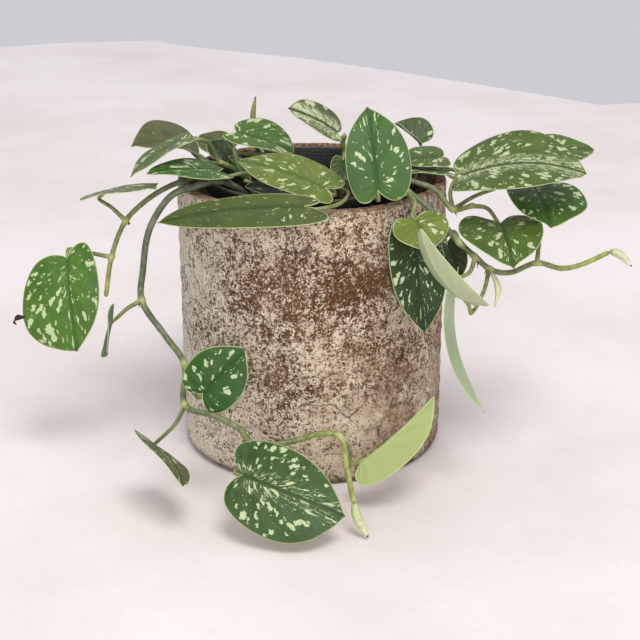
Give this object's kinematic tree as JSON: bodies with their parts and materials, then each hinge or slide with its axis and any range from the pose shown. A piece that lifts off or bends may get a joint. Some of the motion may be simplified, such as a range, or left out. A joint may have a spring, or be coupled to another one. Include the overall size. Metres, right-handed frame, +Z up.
{
  "type": "potted trailing plant",
  "caption": "Trailing satin pothos with silver-splashed heart-shaped leaves, in a plastic nursery pot inside a rough clay cover pot.",
  "frame": {"origin": "centre of the cover pot's flat underside, on the table", "axes": "+Z up out of the pot, -Y to the side that the front leaves hang over, +X to that side's right"},
  "size_m": [0.3121, 0.2461, 0.1905],
  "materials": {
    "clay": "rough unglazed clay with a worn, crusty lime wash",
    "plastic": "thin dark nursery-pot plastic",
    "soil": "dark fibrous potting mix",
    "stem": "smooth green-grey living stem",
    "leaf": "satin green leaf with silver splashes",
    "shoot": "pale rolled young leaf"
  },
  "bodies": {
    "root": {"outer_pot": "clay", "nursery_pot": "plastic", "soil": "soil", "vine_left_outer": "stem", "vine_left": "stem", "vine_right": "stem", "vine_right_upper": "stem", "vine_crown_left": "stem", "vine_front": "stem", "vine_mid": "stem", "vine_back": "stem", "vine_right_crown": "stem", "vine_back_left": "stem", "vine_back_right": "stem", "leaf_left_outer_1": "leaf", "leaf_left_outer_2": "leaf", "leaf_left_1": "leaf", "leaf_left_2": "leaf", "leaf_left_3": "leaf", "leaf_left_4": "leaf", "leaf_left_5": "leaf", "leaf_crown_left_1": "leaf", "leaf_crown_left_2": "leaf", "leaf_crown_left_3": "leaf", "leaf_crown_left_4": "leaf", "leaf_front_1": "leaf", "leaf_front_2": "leaf", "leaf_front_3": "leaf", "leaf_mid_1": "leaf", "leaf_mid_2": "leaf", "leaf_back_1": "leaf", "leaf_back_2": "leaf", "leaf_right_crown_1": "leaf", "leaf_right_crown_2": "leaf", "leaf_right_crown_3": "leaf", "leaf_right_crown_4": "leaf", "leaf_right_upper_1": "leaf", "leaf_right_upper_2": "leaf", "leaf_right_upper_3": "leaf", "leaf_right_1": "leaf", "leaf_right_0": "leaf", "leaf_right_2": "leaf", "leaf_right_3": "leaf", "leaf_right_4": "leaf", "leaf_right_5": "leaf", "leaf_back_left_1": "leaf", "leaf_back_left_2": "leaf", "leaf_back_left_3": "leaf", "leaf_back_left_4": "leaf", "leaf_back_right_1": "leaf", "leaf_back_right_2": "leaf", "leaf_back_right_3": "leaf", "leaf_back_right_4": "leaf", "shoot_front": "shoot", "shoot_right": "shoot", "shoot_left": "shoot", "shoot_top": "shoot"}
  },
  "joints": []
}
